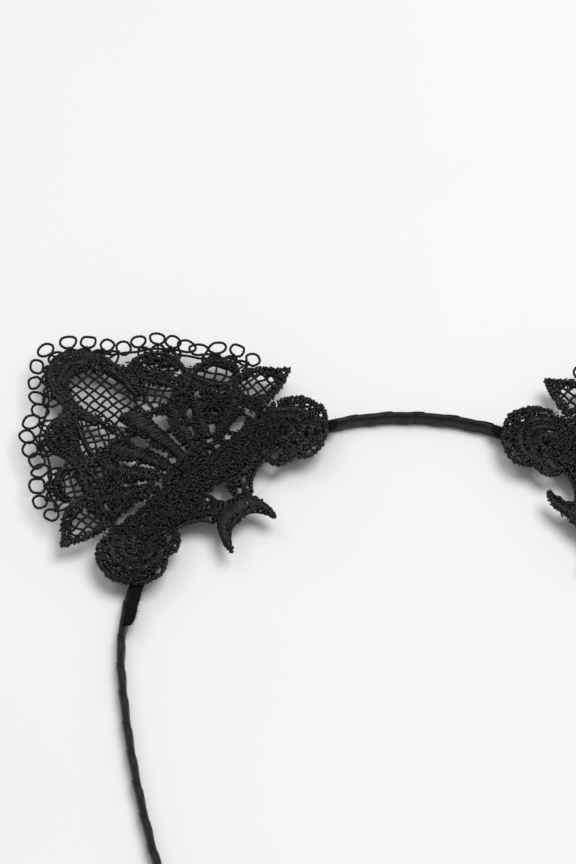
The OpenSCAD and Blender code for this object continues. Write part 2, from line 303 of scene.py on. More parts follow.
ribbon_satin = satin_weave()
whole_ribbon = wound_ribbon(ribbon_satin)
flex_run = 5
for side, sign in (("left", -1), ("right", 1)):
    half = cut_half(whole_ribbon, side + "_ribbon", side == "left")
    pivot = Vector(joints[side + "_side_flex"]["pos_m"])
    along = Vector((sign * pivot.y, -sign * pivot.x, 0)).normalized() * flex_run * MM
    along.x = abs(along.x) * sign
    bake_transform(half)
    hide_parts(side + "_wrap", *(["crown_wrap"] if side == "left" else []))
bpy.data.objects.remove(whole_ribbon)

# ---- Ribbon tips ----
# The ends of the ribbon are folded over the strip's tips, pressed flat and glued down, so that
# no steel shows. Each is one closed pocket of satin with a cut edge and a pinched end.
fold_len = 9
fold_step = 0.3
fold_end = 0.62

def ribbon_tip(name, sign):
    draw = np.random.default_rng(52 + sign)
    rows, columns = 40, 36
    length = mid_r * round_end + leg_len
    fraction = np.linspace(0, 1, rows)
    angle = np.linspace(0, 2 * math.pi, columns + 1)
    cos, sin = np.cos(angle), np.sin(angle)
    reach = corner_reach(cos, sin, corner_power)
    run = fraction * (fold_len + fold_end)
    pinch = np.clip((run - fold_len + 0.9) / (fold_end + 0.9), 0, 1)
    half_t = (band_t / 2 + fold_step - 0.1) * np.sqrt(1 - pinch ** 2.2) + 0.06
    half_w = (band_w / 2 - 0.12) * (1 - 0.08 * pinch ** 3)
    slant = 0.8 * sin[None, :] * (1 - fraction[:, None])
    crease = 0.07 * np.sin(run[:, None] * 1.3 + 3 * angle[None, :] + draw.uniform(0, 6))
    s = length - fold_len + run[:, None] + slant
    centre, outward = band_place(sign * s)
    out = (half_t[:, None] + crease * (1 - pinch[:, None])) * (reach * cos)[None, :]
    up = half_w[:, None] * (reach * sin)[None, :]
    points = np.concatenate([centre + outward * out[..., None], (band_w / 2 + up)[..., None]], -1)
    if sign > 0:
        points = points[:, ::-1]
    uvs = np.stack([np.repeat(angle[None, :] * 1.2, rows, 0),
                    np.repeat(fraction[:, None], columns + 1, 1)], -1)
    tip = grid_mesh(name, points, uvs, ribbon_satin)
    edit_all(tip)
    bpy.ops.mesh.remove_doubles(threshold=0.02 * MM)
    bpy.ops.object.mode_set(mode="OBJECT")
    apply_modifier(tip, "SOLIDIFY", thickness=ribbon_thick * MM, offset=0)
    return tip

for side, sign in (("left", 1), ("right", -1)):
    tip = ribbon_tip(side + "_ribbon_tip", sign)
    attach(tip, side + "_side")
    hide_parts(side + "_tip_fold")

# ---- Felt backing ----
# Two narrow pads of black felt on the band behind each ear, cut with scissors and glued on.
# The lace feet are sewn to them, and their cut edges have loose fibres.
ear_to_fold = 6.8
ear_middle = math.radians(46.4)
pad_start = 18.3
pad_inset = 1.8
pad_round = 3.0
fibre_count = 170
felt_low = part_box("left_outer_felt")[0].z / MM
lace_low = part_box("left_ear_net")[0].z / MM
felt_thick = lace_low - felt_low

def ear_frame(side):
    """The ear's own axes: the foot of its middle line, across towards the crown, and up the ear."""
    fold = joints[side + "_ear_fold"]
    mirror = 1 if side == "left" else -1
    across = np.array([fold["axis"][0] * mirror, abs(fold["axis"][1])])
    up = np.array([-abs(fold["axis"][1]) * mirror, abs(fold["axis"][0])])
    foot = np.array(fold["pos_m"][:2]) / MM - up * ear_to_fold
    return foot, across, up, mirror

def felt_dye():
    felt, nodes, links, shader = new_material("black_wool_felt")
    shader.inputs["Roughness"].default_value = 0.92
    shader.inputs["Specular IOR Level"].default_value = 0.06
    where = new_node(nodes, "TexCoord")
    tangle = new_node(nodes, "TexNoise", Scale=1600, Detail=5, Distortion=1.5)
    tone = tone_ramp(nodes, (0.002, 0.002, 0.003), (0.01, 0.01, 0.012))
    bump = new_node(nodes, "Bump", Strength=0.8, Distance=0.00015)
    wire(links, (where, "Object", tangle, "Vector"), (tangle, "Fac", tone, "Fac"),
         (tone, "Color", shader, "Base Color"), (tangle, "Fac", bump, "Height"),
         (bump, "Normal", shader, "Normal"))
    return felt

def unit(v):
    return v / np.maximum(np.linalg.norm(v, axis=-1, keepdims=True), 1e-9)

def lay_thread(work, points, facing, thick, flat=1.0, sides=6, ply=0.8):
    """Adds one closed thread along the points, thick mm across and flat times as thick along facing."""
    points = np.asarray(points, float)
    count = len(points)
    ahead = unit(np.gradient(points, axis=0))
    facing = np.broadcast_to(np.asarray(facing, float), points.shape)
    facing = unit(facing - (facing * ahead).sum(-1, keepdims=True) * ahead)
    across = np.cross(ahead, facing)
    turn = np.arange(sides) * 2 * math.pi / sides
    half = np.broadcast_to(np.asarray(thick) / 2, (count,))[:, None, None]
    flat = np.broadcast_to(np.asarray(flat), (count,))[:, None, None]
    rings = points[:, None] + half * (np.cos(turn)[None, :, None] * facing[:, None] * flat
                                      + np.sin(turn)[None, :, None] * across[:, None])
    index = np.arange(count * sides).reshape(count, sides)
    nxt = np.roll(index, -1, 1)
    walls = np.stack([index[:-1], nxt[:-1], nxt[1:], index[1:]], -1).reshape(-1, 4)
    run = np.r_[0, np.cumsum(np.linalg.norm(np.diff(points, axis=0), axis=1))] / ply
    j = np.arange(sides) / sides
    k = j + 1 / sides
    low, high = run[:-1, None], run[1:, None]
    wall_uv = np.stack([np.stack([low + j, low + k, high + k, high + j], -1),
                        np.broadcast_to(np.stack([j, k, k, j], -1), (count - 1, sides, 4))],
                       -1).reshape(-1, 4, 2)
    first, last = index[0, ::-1], index[-1]
    caps = [[end[0], end[i], end[i + 1], end[i + 2]] for end in (first, last)
            for i in range(1, sides - 1, 2)]
    faces = np.vstack([walls, np.array(caps)])
    work.append((rings.reshape(-1, 3), faces, np.vstack([wall_uv, np.zeros((len(caps), 4, 2))])))

def sewn_piece(work, name, place, mirror, material):
    """One mesh of all the threads in work, put in place by the function place."""
    starts = np.cumsum([0] + [len(v) for v, f, uv in work[:-1]])
    verts = place(np.vstack([v for v, f, uv in work]))
    faces = np.vstack([f + start for start, (v, f, uv) in zip(starts, work)])
    uvs = np.vstack([uv for v, f, uv in work])
    if mirror < 0:
        faces, uvs = faces[:, ::-1], uvs[:, ::-1]
    return smooth_piece(name, verts, faces, uvs, material)

black_felt = felt_dye()

def felt_pad(name, side, foot_side, end_deg, seed):
    """A pad from under the lace foot out to end_deg, both angles from the ear's middle."""
    draw = np.random.default_rng(seed)
    mirror = 1 if side == "left" else -1
    toward = 1 if foot_side == "outer" else -1
    inner, outer = head_r - pad_inset, head_r + band_t * 0.4
    rows, columns = 90, 12
    t = np.linspace(0, 1, rows)[:, None] * np.ones((1, columns))
    w = np.ones((rows, 1)) * np.linspace(0, 1, columns)[None, :]
    end_round = np.sqrt(np.clip(1 - ((t - 1) * math.radians(end_deg - pad_start) * inner / pad_round + 1)
                                .clip(0, 1) ** 2, 0, 1))
    low = outer - (outer - inner) * (0.3 + 0.7 * end_round)
    radius = low + (outer - low) * w + 0.07 * np.sin(t * 40 + draw.uniform(0, 6)) * (1 - w)
    angle = np.radians(pad_start + (end_deg - pad_start) * t)
    heading = ear_middle + toward * angle
    x, y = -mirror * radius * np.sin(heading), radius * np.cos(heading)
    bulge = 1 - (2 * w - 1) ** 6
    top = felt_low + felt_thick * (0.72 + 0.22 * bulge) + draw.normal(0, 0.02, w.shape)
    bottom = felt_low + 0.02 + 0 * w
    sheet_top = np.stack([x, y, top], -1)
    sheet_low = np.stack([x, y, bottom], -1)
    section = np.concatenate([sheet_low, sheet_top[:, ::-1], sheet_low[:, :1]], 1)
    if mirror * toward < 0:
        section = section[:, ::-1]
    round_it = section.shape[1]
    uvs = np.stack([np.arange(round_it)[None, :] * np.ones((rows, 1)) / 10,
                    t[:, :1] * np.ones((1, round_it)) * 8], -1)
    pad = grid_mesh(name, section, uvs, black_felt)
    edit_all(pad)
    bpy.ops.mesh.remove_doubles(threshold=0.005 * MM)
    bpy.ops.mesh.select_all(action="DESELECT")
    bpy.ops.mesh.select_non_manifold()
    bpy.ops.mesh.fill_holes(sides=0)
    bpy.ops.mesh.select_all(action="SELECT")
    bpy.ops.mesh.normals_make_consistent(inside=False)
    bpy.ops.object.mode_set(mode="OBJECT")
    fibres = []
    for i in range(fibre_count):
        row = draw.integers(int(rows * 0.3), rows)
        edge = 0 if draw.random() < 0.7 else columns - 1
        root = np.array([x[row, edge], y[row, edge], felt_low + draw.uniform(0.1, 0.7) * felt_thick])
        away = unit(np.array([x[row, 0] - x[row, -1], y[row, 0] - y[row, -1], 0]))
        away = away * (1 if edge == 0 else -1)
        sway = unit(draw.normal(0, 1, 3)) * 0.9
        reach = draw.uniform(0.25, 0.7)
        k = np.linspace(0, 1, 5)[:, None]
        path = root - away * 0.1 + reach * (away * k + sway * k * k * 0.8)
        lay_thread(fibres, path, (0, 0, 1), 0.05, sides=4)
    fuzz = sewn_piece(fibres, name + "_fuzz", lambda v: v, 1, black_felt)
    select_only(pad)
    fuzz.select_set(True)
    bpy.ops.object.join()
    return pad

for side in ("left", "right"):
    for foot_side, end_deg, seed in (("outer", 41.3, 61), ("inner", 29.8, 62)):
        pad = felt_pad(f"{side}_{foot_side}_felt_pad", side, foot_side, end_deg,
                       seed + (10 if side == "right" else 0))
        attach(pad, side + "_side")
        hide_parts(f"{side}_{foot_side}_felt")

# ---- Lace base ----
# The dense crescent along the foot of each ear: rows of overcast cord with a star-shaped hole
# and a pronged flower below it. All the lace is black rayon thread, stitched by machine on a
# sheet that is then washed away, so every part of it is a cord wound with thread.
row_winding = {"pitch": 0.62, "thread": 0.5}
arch_beads = {"pitch": 0.85, "thread": 0.62, "steps": 8, "slant": 0.3}
cord_corner = 2.5

def rayon_thread(name, dark, light, rough, shine):
    rayon, nodes, links, shader = new_material(name)
    shader.inputs["Specular IOR Level"].default_value = shine
    shader.inputs["Anisotropic"].default_value = 0.3
    where = new_node(nodes, "TexCoord")
    ply = new_node(nodes, "TexWave", Scale=math.pi / 10)
    ply.bands_direction = "X"
    wear = new_node(nodes, "TexNoise", Scale=260, Detail=4)
    tone = tone_ramp(nodes, dark, light, 0.3, 0.75)
    gloss = new_node(nodes, "MapRange", To_Min=rough - 0.08, To_Max=rough + 0.12)
    bump = new_node(nodes, "Bump", Strength=0.6, Distance=0.00006)
    wire(links, (where, "UV", ply, "Vector"), (where, "Object", wear, "Vector"),
         (wear, "Fac", tone, "Fac"), (tone, "Color", shader, "Base Color"),
         (wear, "Fac", gloss, "Value"), (gloss, "Result", shader, "Roughness"),
         (ply, "Fac", bump, "Height"), (bump, "Normal", shader, "Normal"))
    return rayon

cord_rayon = rayon_thread("black_rayon_cord", (0.0015, 0.0015, 0.002), (0.006, 0.006, 0.008), 0.28, 0.38)

def smooth_line(points, step):
    """A smooth line through the points, resampled every step mm, and the distance run along it."""
    p = np.array(points, float)
    if len(p) == 2:
        p = np.array([p[0], (p[0] + p[1]) / 2, p[1]])
    p = np.vstack([2 * p[0] - p[1], p, 2 * p[-1] - p[-2]])
    t = np.linspace(0, 1, 14, endpoint=False)[:, None]
    parts = [0.5 * (2 * b + (c - a) * t + (2 * a - 5 * b + 4 * c - d) * t ** 2
                    + (3 * b - a - 3 * c + d) * t ** 3) for a, b, c, d in zip(p, p[1:], p[2:], p[3:])]
    fine = np.vstack(parts + [p[-2:-1]])
    run = np.r_[0, np.cumsum(np.linalg.norm(np.diff(fine, axis=0), axis=1))]
    s = np.linspace(0, run[-1], max(3, int(run[-1] / step) + 2))
    return np.stack([np.interp(s, run, fine[:, k]) for k in range(fine.shape[1])], -1), s

def wind_cord(work, draw, path, width, height=1.5, low=0.1, pitch=0.55, thread=0.44, steps=10,
              slant=0.15, wobble=1.0):
    """Winds thread round a flat cord along path. Width is one value, or several from end to end."""
    line, run = smooth_line(path, 0.3)
    total = run[-1]
    turns = max(2, int(total / pitch))
    at = np.arange(turns * steps + 1) / steps
    marks = np.arange(turns + 1)
    shake = np.interp(at, marks, draw.normal(0, 0.3 * pitch * wobble, turns + 1))
    swell = 1 + np.interp(at, marks, draw.normal(0, 0.09 * wobble, turns + 1))
    rise = np.interp(at, marks, draw.normal(0, 0.09 * wobble, turns + 1))
    lean = slant + np.interp(at, marks, draw.normal(0, 0.22 * wobble, turns + 1))
    angle = 2 * math.pi * at
    widths = np.atleast_1d(width).astype(float)
    s = np.clip(at * total / turns + shake, 0, total)
    wide = np.interp(s / total, np.linspace(0, 1, len(widths)), widths)
    cos, sin = np.cos(angle), np.sin(angle)
    reach = corner_reach(cos, sin, cord_corner)
    x = reach * cos * np.maximum(wide * swell - thread, 0.1) / 2
    tall = np.minimum(height, wide * 0.75 + 0.5)
    z = reach * sin * np.maximum(tall - thread, 0.1) / 2 + rise
    heading = unit(np.gradient(line, axis=0))
    ahead = np.stack([np.interp(s, run, heading[:, k]) for k in (0, 1)], -1)
    normal = np.stack([-ahead[:, 1], ahead[:, 0]], -1)
    centre = np.stack([np.interp(s, run, line[:, k]) for k in (0, 1)], -1)
    flat = centre + normal * x[:, None] + ahead * (lean * x)[:, None]
    mid = low + height / 2
    points = np.concatenate([flat, (mid + z)[:, None]], -1)
    facing = np.concatenate([normal * cos[:, None], sin[:, None]], -1)
    lay_thread(work, points, facing, thread, sides=4, ply=1.6 * thread)
    core_w = np.interp(run / total, np.linspace(0, 1, len(widths)), widths)
    core_h = np.minimum(height, core_w * 0.75 + 0.5) - 0.9 * thread
    core_w = np.maximum(core_w - 0.9 * thread, 0.2)
    core = np.concatenate([line, np.full((len(line), 1), mid)], -1)
    lay_thread(work, core[1:-1], (0, 0, 1), core_w[1:-1], flat=(core_h / core_w)[1:-1], sides=8)

def lay_stitches(work, centre, angle, length, thick, dip):
    """Adds many short stitches at once: each is a thread that arches over its centre."""
    k = np.linspace(-1, 1, 4)
    ahead = np.stack([np.cos(angle), np.sin(angle), 0 * angle], -1)
    points = centre[:, None] + ahead[:, None] * (length[:, None] / 2 * k)[..., None]
    points[..., 2] -= dip[:, None] * k ** 2
    slope = unit(np.gradient(points, axis=1))
    facing = np.array((0, 0, 1.0)) - slope[..., 2:] * slope
    facing = unit(facing)
    across = np.cross(slope, facing)
    turn = np.arange(4) * math.pi / 2 + math.pi / 4
    half = thick[:, None, None, None] / 2
    rings = points[:, :, None] + half * (np.cos(turn)[None, None, :, None] * facing[:, :, None]
                                         + np.sin(turn)[None, None, :, None] * across[:, :, None])
    base = np.arange(12).reshape(3, 4)
    nxt = np.roll(base, -1, 1)
    walls = np.stack([base, nxt, nxt + 4, base + 4], -1).reshape(-1, 4)
    shape = np.vstack([walls, [[3, 2, 1, 0], [12, 13, 14, 15]]])
    faces = (shape[None] + 16 * np.arange(len(centre))[:, None, None]).reshape(-1, 4)
    j = np.tile(np.arange(4) / 4, 3)
    run = np.repeat(np.arange(3) * 0.6, 4)
    wall_uv = np.stack([np.stack([run + j, run + j + 0.25, run + j + 0.85, run + j + 0.6], -1),
                        np.stack([j, j + 0.25, j + 0.25, j], -1)], -1)
    uv = np.concatenate([wall_uv, np.zeros((2, 4, 2))])
    work.append((rings.reshape(-1, 3), faces, np.tile(uv, (len(centre), 1, 1))))

def within(points, outline):
    """Whether each point lies inside the closed outline."""
    a = np.array(outline, float)
    b = np.roll(a, -1, 0)
    x, y = points[..., 0, None], points[..., 1, None]
    crosses = (a[:, 1] > y) != (b[:, 1] > y)
    rise = np.where(b[:, 1] == a[:, 1], 1e-9, b[:, 1] - a[:, 1])
    return (crosses & (x < (b[:, 0] - a[:, 0]) * (y - a[:, 1]) / rise + a[:, 0])).sum(-1) % 2 == 1

def slot_outline(a, b, width):
    """A round-ended slit from a to b."""
    a, b = np.array(a, float), np.array(b, float)
    ahead = math.atan2(b[1] - a[1], b[0] - a[0])
    turns = np.linspace(-math.pi / 2, math.pi / 2, 6)
    ends = [(b, turns), (a, turns + math.pi)]
    return [tuple(p + width / 2 * np.array([math.cos(ahead + t), math.sin(ahead + t)]))
            for p, ts in ends for t in ts]

def scattered(draw, outline, gap):
    """Points about gap mm apart over the outline's box, each moved by up to half a gap."""
    low, high = np.min(outline, 0), np.max(outline, 0)
    u, y = np.meshgrid(np.arange(low[0], high[0], gap), np.arange(low[1], high[1], gap))
    return np.column_stack([u.ravel(), y.ravel()]) + draw.uniform(-0.5, 0.5, (u.size, 2)) * gap

def fill_ground(work, draw, outline, openings, guides, pits, layers=(0.45, 0.95, 1.5), spread=0.6):
    """Fills an outline with short crossing stitches in layers and leaves the openings free, and small
    pits between the stitches too. A stitch lies across the nearest guide line, give or take."""
    spacing, thread = 0.64, 0.45
    marks, headings = [], []
    for guide in guides:
        line, _ = smooth_line(guide, 1.0)
        step = np.gradient(line, axis=0)
        marks.append(line)
        headings.append(np.arctan2(step[:, 1], step[:, 0]))
    marks, headings = np.vstack(marks), np.concatenate(headings)
    pit = scattered(draw, outline, pits)
    pit_size = draw.uniform(0.15, 0.62, len(pit))
    for height in layers:
        spots = scattered(draw, outline, spacing * (1.0 if height == layers[-1] else 1.15))
        angle_jitter = draw.normal(0, spread, len(spots))
        length = draw.uniform(1.0, 2.1, len(spots))
        lift = draw.uniform(-0.28, 0.12, len(spots))
        thick = thread * draw.uniform(0.85, 1.15, len(spots))
        keep = within(spots, outline)
        for opening in openings:
            keep &= ~within(spots, opening)
        spots, angle_jitter, length, lift, thick = (
            v[keep] for v in (spots, angle_jitter, length, lift, thick))
        nearest = np.argmin(((spots[:, None] - marks[None]) ** 2).sum(-1), 1)
        angle = headings[nearest] + math.pi / 2 + angle_jitter
        for attempt in range(3):
            ahead = np.stack([np.cos(angle), np.sin(angle)], -1) * (length / 2)[:, None]
            bad = np.zeros(len(spots), bool)
            for end in (spots - ahead, spots + ahead):
                bad |= ~within(end, outline)
                bad |= (np.linalg.norm(end[:, None] - pit[None], axis=2) < pit_size).any(1)
                for opening in openings:
                    bad |= within(end, opening)
            if attempt < 2:
                length = np.where(bad, length * 0.6, length)
                angle = np.where(bad, angle + 0.6, angle)
        bad |= (np.linalg.norm(spots[:, None] - pit[None], axis=2) < pit_size).any(1)
        good = ~bad
        centre = np.column_stack([spots, height + lift])[good]
        lay_stitches(work, centre, angle[good], length[good], thick[good], 0.12 + 0.1 * length[good])

def on_ear(side, ripple):
    """The place of points given across, up the ear and above the lace's underside, in mm. The cloth
    is not quite straight: it leans a little and ripples towards its edge."""
    foot, across, up, mirror = ear_frame(side)
    def place(v):
        u, y, z = v.T
        u = u + np.interp(y, lean_at, lean_by) * (1 if side == "left" else 0.3)
        free = np.clip((y - 8) / 25, 0, 1)
        z = z + free * ripple * (0.32 * np.sin(u / 7.5 + y / 13 + 1.3) - 0.3)
        z = z - 0.006 * np.clip(y - 12, 0, 60) * free
        flat = foot + u[:, None] * across + y[:, None] * up
        return np.column_stack([flat, lace_low + z])
    return place, mirror

lean_at = (-19, -10, -4, 20, 45, 60)
lean_by = (-1.5, 0.2, 1.0, 1.0, 0.0, -0.3)
sides_of_head = (("left", 1.0, 100), ("right", 0.8, 200))

def sew_on(work, side, ripple, name, material, node, bends=True):
    place, mirror = on_ear(side, ripple)
    piece = sewn_piece(work, name, place, mirror, material)
    if bends:
        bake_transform(piece)
    else:
        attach(piece, side + "_side")
    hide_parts(node)

def both(*path):
    """A path and its mirror image on the other half of the ear."""
    return [list(path), [(-u, y) for u, y in path]]

# The openings in the lace, as slits from one point to another of some width, and as outlines.
slits = (
    (-4.1, 22.6, -3.9, 20.0, 2.5), (-3.4, 17.8, -2.2, 14.0, 1.1), (-2.2, 12.2, -2.2, 10.8, 1.2),
    (-12, 19.8, -10, 17.6, 1.5), (-8.8, 15.8, -7, 13.0, 0.9), (-6, 11.0, -6, 10.2, 0.9),
    (-13.6, 12.7, -11.2, 11.1, 0.9), (-9.8, 9.0, -9.3, 8.6, 1.3), (4.3, 24.2, 3.6, 20.2, 2.0),
    (5.5, 23.2, 4.0, 20.6, 1.7), (2.8, 18.0, 2.5, 14.3, 1.1), (2.3, 12.6, 1.6, 10.9, 1.1),
    (12.1, 20.2, 10.2, 18.0, 1.2), (8.5, 16.1, 7.2, 13.6, 0.8), (5.9, 11.5, 5.6, 10.6, 0.7),
    (12.9, 13.0, 11.5, 11.0, 1.3), (9.4, 9.9, 9.2, 9.1, 1.3), (4.9, 30.2, 4.9, 28.6, 1.5),
    (-3.2, 30.0, -3.2, 27.6, 1.5), (-24.4, 7.0, -22.2, 7.6, 1.5), (-20.2, 7.2, -16.6, 7.2, 1.7),
    (15.9, 7.8, 19.6, 8.6, 2.0), (22.1, 9.3, 22.4, 7.5, 1.5), (12.9, 7.0, 13.6, 7.0, 1.0),
    (16.0, 15.2, 16.1, 14.7, 1.4), (-15.5, 13.9, -15.4, 13.6, 1.2), (-19.6, 15.8, -19.4, 15.6, 1.1),
    (-23.5, 13.0, -23.3, 11.0, 1.6), (13.9, 38.8, 14.6, 37.0, 1.3), (15.5, 37.0, 16.4, 34.8, 1.1),
    (17.3, 34.5, 17.9, 33.0, 0.9), (18.8, 32.4, 18.6, 31.0, 1.2), (-17.3, 35.8, -17.5, 34.4, 1.7),
    (16.5, 22.6, 16.7, 21.2, 1.6), (13.1, 25.6, 13.5, 24.4, 1.2), (6.9, -5.8, 8.0, -4.7, 0.7),
    (9.5, -3.6, 10.3, -3.0, 0.6), (4.4, -7.4, 4.6, -6.7, 1.0), (31.2, 3.7, 32.2, 3.3, 1.1),
    (33.0, 2.2, 33.2, 1.8, 1.0), (34.5, 0.0, 34.4, -1.2, 1.2), (35.0, -4.0, 35.0, -4.6, 0.7),
    (25.7, -10.4, 26.4, -10.4, 0.9), (27.8, -11.1, 28.0, -10.2, 1.1), (30.3, -9.3, 32, -8.9, 1.2),
    (17.9, -5.2, 20.3, -5.0, 1.8), (-33.4, 2.0, -33.2, 0.6, 0.8), (-34.9, -3.6, -34.9, -2.0, 1.3),
    (-30.4, -9.8, -30.4, -10, 0.9), (-29, -10.8, -28.4, -10.8, 0.9), (-26.5, -10.9, -25.2, -10.7, 1),
    (-24.7, -7.0, -23.9, -6.8, 0.7), (-20.3, -5.2, -17.5, -4.5, 1.2))
star_hole = ((-3.0, -1.3), (-0.7, -2.2), (0.4, -1.5), (3.7, -2.3), (2.1, -4.2), (2.1, -7.7),
             (-0.4, -7.2), (-2.0, -5.3))
windows = (
    ((-6.3, 33), (-6.2, 40), (-5.6, 44), (-3.5, 48), (0, 49.2), (3, 47.6), (5.5, 43.5), (6.6, 39),
     (6.8, 34), (6.4, 31), (3.4, 31.5), (-0.6, 31.5), (-4.6, 30.5)),
    ((-10.2, 38.6), (-16.9, 28.7), (-13.8, 25.8), (-7, 26.8), (-6.8, 31), (-8.4, 36)),
    ((10.1, 34.5), (13.9, 28.8), (12.8, 26.5), (6.8, 26.5), (6.7, 29), (8.8, 33)),
    ((-28.9, 20), (-28.3, 24.5), (-25.2, 27.3), (-22.7, 27), (-23.7, 23), (-25, 19.5)),
    ((20.6, 27.3), (24.8, 27.5), (27.7, 25.5), (28.9, 21.5), (26, 20), (22.5, 20.5), (20.7, 24)),
    ((-21.5, 19.3), (-20.4, 23), (-18.8, 24.6), (-16.4, 23.5), (-16.3, 21), (-18.5, 18.8)),
    ((-36.2, 11.8), (-34.5, 13.5), (-32.5, 15.6), (-28.5, 16.2), (-27.3, 13.5), (-28.5, 10.3),
     (-32, 10)),
    ((25.7, 16.5), (29, 17.2), (32.3, 16.2), (34.6, 13), (33, 10.8), (29, 10.5), (26, 12)))
openings = [slot_outline(s[:2], s[2:4], s[4] + 0.25) for s in slits] + [star_hole, *windows]

def mirrored(points):
    return [(-u, y) for u, y in reversed(points)]

base_half = [(30, 6.9), (22, -3.4), (16, -4.1), (13, -4.3), (10.2, -5.4), (8, -6.9), (6.6, -8.8),
             (6.1, -10.6), (6.6, -12.5), (7.7, -15.5), (8.1, -18.5), (7.5, -19.6), (6.9, -19.2),
             (5.8, -16.5), (4.2, -14.5), (2.2, -13.8)]

# The right ear's prong on the crown side has been bent outwards in use.
bent_half = base_half[:4] + [
    (10.2, -5.9), (8, -7.4), (7, -9), (8.6, -10.6), (11.5, -11.2), (13.9, -11.2), (14.2, -12.4),
    (12.0, -13.9), (8.5, -14.2), (5.5, -13.9), (2.2, -13.8)]

def base_rows(work, draw, bent):
    for y in (5.4, 3.0, 0.6):
        path = [(-29, y - 0.7), (-15, y + 0.4), (0, y - 0.2), (15, y + 0.3), (29, y - 0.6)]
        wind_cord(work, draw, path, 1.5, height=1.1, **row_winding)
    arch = ((21, -3.9), (15.5, -4.5), (12.8, -4.9), (10, -6.1), (8, -7.6), (6.6, -9.6))
    for path in both(*arch):
        wind_cord(work, draw, path, 1.3, height=1.3, **arch_beads)
    guides = [[(-30, y), (30, y)] for y in (4, -1)] + both((16, -3), (9, -5), (6, -9))
    half = bent_half if bent else base_half
    fill_ground(work, draw, half + mirrored(base_half), openings, guides, spread=0.75, pits=4.2)

def base_flower(work, draw, bent):
    wind_cord(work, draw, [(-5.2, -10.6), (0, -10.2), (5.2, -10.6)], 4.6, height=1.7, pitch=0.45)
    wind_cord(work, draw, [(-4.2, -13.6), (0, -12.9), (4.2, -13.6)], 1.6, height=1.5, pitch=0.5)
    prongs = both((4.9, -11.4), (6.1, -13.4), (7.0, -16.1), (7.4, -19.2))
    rims = both((6.2, -10.9), (7.1, -13.5), (7.9, -16.5), (7.7, -19.1))
    if bent:
        prongs[0] = ((4.6, -11.2), (7.5, -12.6), (10.8, -12.9), (13.6, -12.0))
        rims[0] = ((6.4, -9.8), (8.6, -11.0), (11.2, -11.6), (13.8, -11.4))
    for path in prongs:
        wind_cord(work, draw, path, (3.6, 3.0, 2.0, 0.8), height=1.6, pitch=0.5)
    for path in rims:
        wind_cord(work, draw, path, 1.0, height=1.2, **arch_beads)

for side, ripple, seed in sides_of_head:
    work, draw = [], np.random.default_rng(seed + 1)
    base_rows(work, draw, side == "right")
    base_flower(work, draw, side == "right")
    sew_on(work, side, ripple, side + "_base_lace", cord_rayon, side + "_lace_base")

# ---- Lace feet ----
# A rosette at each end of the base, over the band: three cords coiled round each other inside
# a rim of large bead-like stitches, with a small curl beside it.
foot_outline = [(30, 6.6), (33.2, 5), (35.2, 3.5), (36.6, 2), (37.2, -0.5), (37.8, -2.5), (37.4, -4.5),
                (36.5, -5.6), (35.5, -7.5), (33, -9.8), (31.5, -10.9), (29.2, -11.7), (26.8, -12.2),
                (24.7, -11.4), (23.2, -10.3), (21.6, -9.4), (19, -9.5), (16.9, -8.4), (15.7, -6.3),
                (15.4, -4.4), (17, -3.9), (22, -3.4)]

rim_beads = {"pitch": 1.1, "thread": 0.9, "steps": 8, "slant": 0.3, "wobble": 1.2}
foot_rims = (
    (((30.6, 6.0), (34.2, 4.1), (36, 1.7), (36.9, -2.2), (36.2, -5), (34, -8.2), (31.2, -10.6),
      (27, -11.8), (24.3, -10.9), (22.6, -9.6)), 1.6),
    (((30.5, 4.9), (32.8, 3.0), (34, 1.2), (34.9, -2.4), (34.2, -5.6), (32.4, -8.0), (29.3, -9.6),
      (26.4, -9.8), (23.6, -8.8)), 1.3))
foot_coils = (
    (((28, 4.6), (31.4, 2.2), (32.6, -1.5), (31.6, -5.0), (28.6, -7.4), (25, -7.8), (21.5, -6.6)), 2.4),
    (((26.5, 3), (29.4, 0.6), (30, -1.9), (28.9, -4.3), (26.6, -5.6), (24.2, -5.6)), 2.2),
    (((24.5, 1.3), (27, -0.7), (26.6, -2.8), (24.4, -3.4), (21.5, -2.6)), 2.4))
foot_curl = ((22.2, -3.3), (19.5, -3.1), (17.0, -3.6), (15.9, -5.6), (17.0, -8.0), (19.2, -8.9),
             (22, -8.8))

def foot_rosette(work, draw, hand):
    def path(*points):
        return [(hand * u, y) for u, y in points]
    for rim, width in foot_rims:
        wind_cord(work, draw, path(*rim), width, **rim_beads)
    for coil, width in foot_coils:
        wind_cord(work, draw, path(*coil), width)
    wind_cord(work, draw, path(*foot_curl), 1.2, **rim_beads)
    wind_cord(work, draw, path((18.6, -7.5), (20.5, -7.4), (23, -7.2)), 1.2)
    guides = [path((28, 4.6), (32.6, -1.5), (28.6, -7.4), (21, -6.8)),
              path((24.5, 1.3), (26.6, -2.8), (21.5, -2.6))]
    fill_ground(work, draw, path(*foot_outline), openings, guides, spread=0.7, pits=3.0)

for side, ripple, seed in sides_of_head:
    for foot_side, hand in (("outer", -1), ("inner", 1)):
        work, draw = [], np.random.default_rng(seed + 3 + hand)
        foot_rosette(work, draw, hand)
        sew_on(work, side, ripple, f"{side}_{foot_side}_rosette", cord_rayon,
               f"{side}_{foot_side}_foot")

